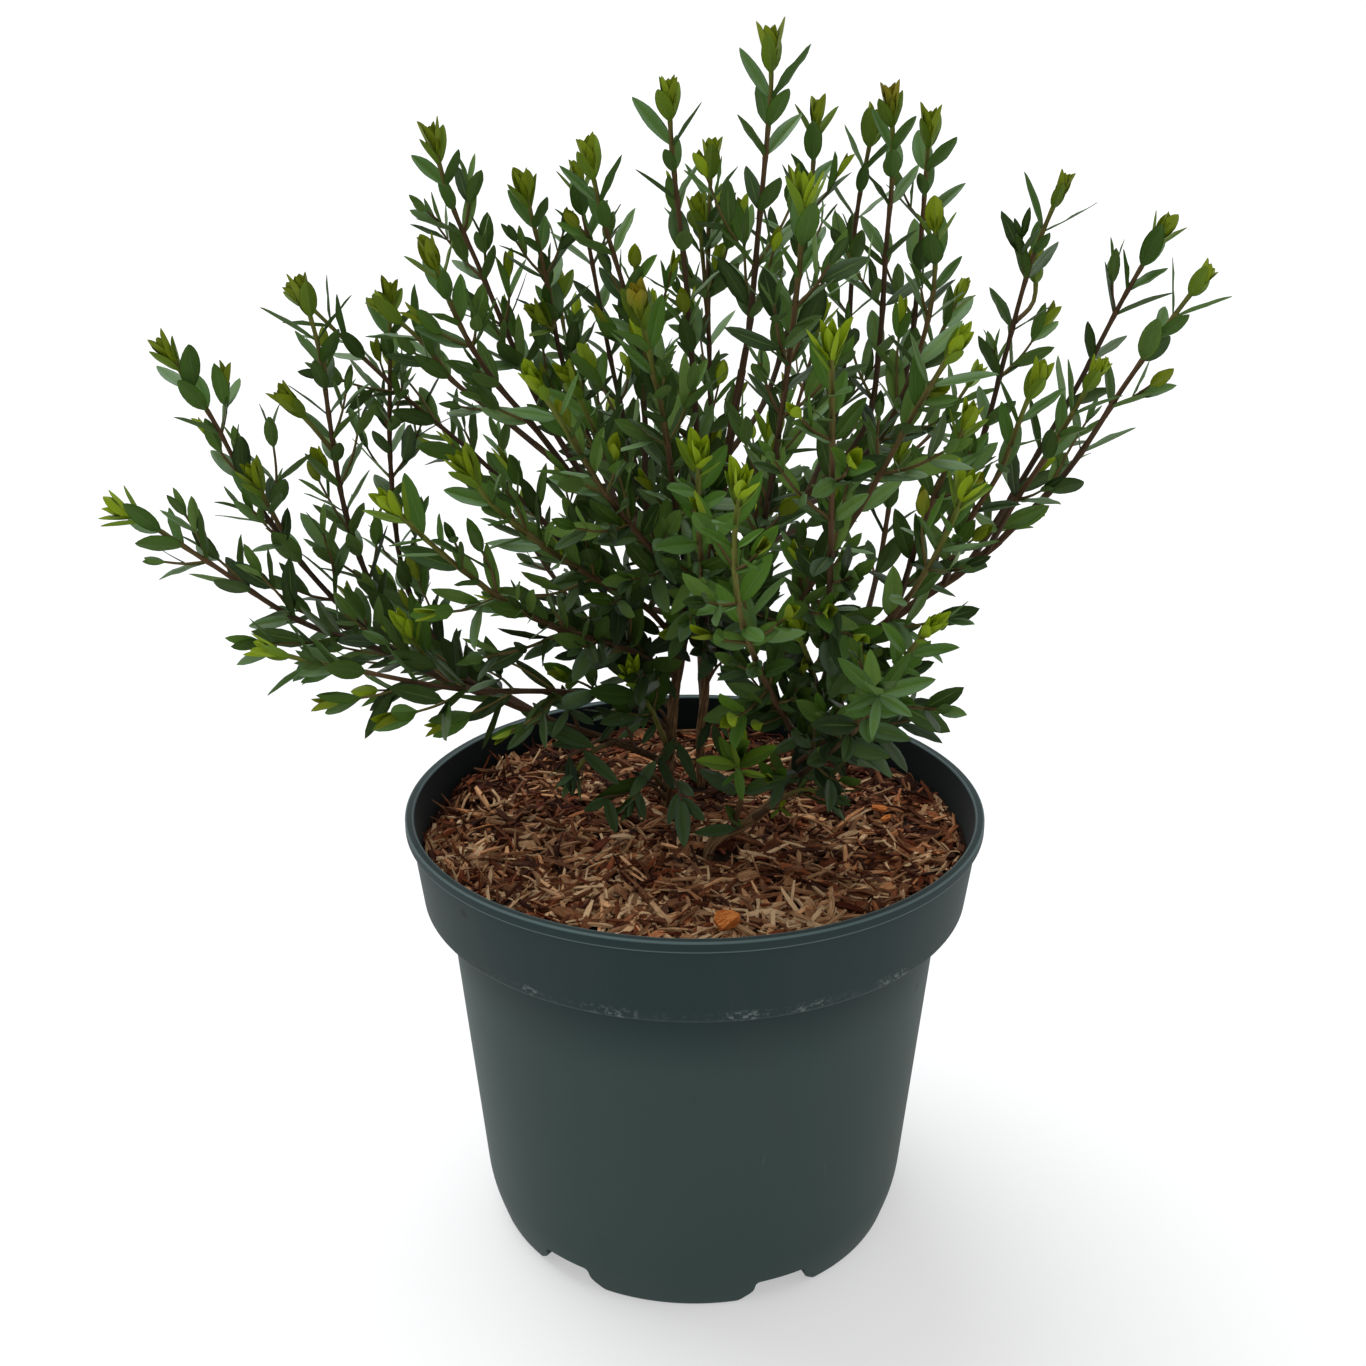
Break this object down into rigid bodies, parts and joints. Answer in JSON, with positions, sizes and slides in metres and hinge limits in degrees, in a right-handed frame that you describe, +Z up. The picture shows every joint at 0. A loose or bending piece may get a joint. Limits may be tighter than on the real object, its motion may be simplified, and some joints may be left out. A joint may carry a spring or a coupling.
{
  "type": "potted tarentina myrtle",
  "caption": "Young evergreen myrtle bush of leafy upright shoots on woody stems, in bark mulch in a round nursery pot with a deep collar.",
  "frame": {"origin": "middle of the flat underside of the pot, on the surface that it stands on", "axes": "+Z up along the pot's axis, +Y away from the side that the picture shows, +X to the right of that side"},
  "size_m": [0.3919, 0.3718, 0.4638],
  "materials": {
    "pot_plastic": "satin moulded plastic, dark bluish green",
    "soil": "loose dark potting soil",
    "bark_mulch": "dry shredded bark in mixed browns",
    "bark": "thin dull reddish-brown bark",
    "foliage": "semi-gloss evergreen leaves"
  },
  "bodies": {
    "root": {"pot": "pot_plastic", "soil": "soil", "bark_mulch": "bark_mulch", "woody_stem_main": "bark", "woody_stem_second": "bark", "woody_stem_low": "bark", "shoot_01": "foliage", "shoot_02": "foliage", "shoot_03": "foliage", "shoot_04": "foliage", "shoot_05": "foliage", "shoot_06": "foliage", "shoot_07": "foliage", "shoot_08": "foliage", "shoot_09": "foliage", "shoot_10": "foliage", "shoot_11": "foliage", "shoot_12": "foliage", "shoot_13": "foliage", "shoot_14": "foliage", "shoot_15": "foliage", "shoot_16": "foliage", "shoot_17": "foliage", "shoot_18": "foliage", "shoot_19": "foliage", "shoot_20": "foliage", "shoot_21": "foliage", "shoot_22": "foliage", "shoot_23": "foliage", "shoot_24": "foliage", "shoot_25": "foliage", "shoot_26": "foliage", "shoot_27": "foliage", "shoot_28": "foliage", "shoot_29": "foliage", "shoot_30": "foliage", "shoot_31": "foliage", "shoot_32": "foliage", "shoot_33": "foliage", "shoot_34": "foliage", "shoot_35": "foliage", "shoot_36": "foliage", "shoot_37": "foliage", "shoot_38": "foliage", "shoot_39": "foliage", "shoot_40": "foliage", "shoot_41": "foliage", "shoot_42": "foliage", "shoot_43": "foliage", "shoot_44": "foliage", "shoot_45": "foliage", "shoot_46": "foliage", "shoot_47": "foliage", "shoot_48": "foliage", "shoot_49": "foliage", "shoot_50": "foliage", "shoot_51": "foliage", "shoot_52": "foliage", "shoot_53": "foliage", "shoot_54": "foliage"}
  },
  "joints": []
}
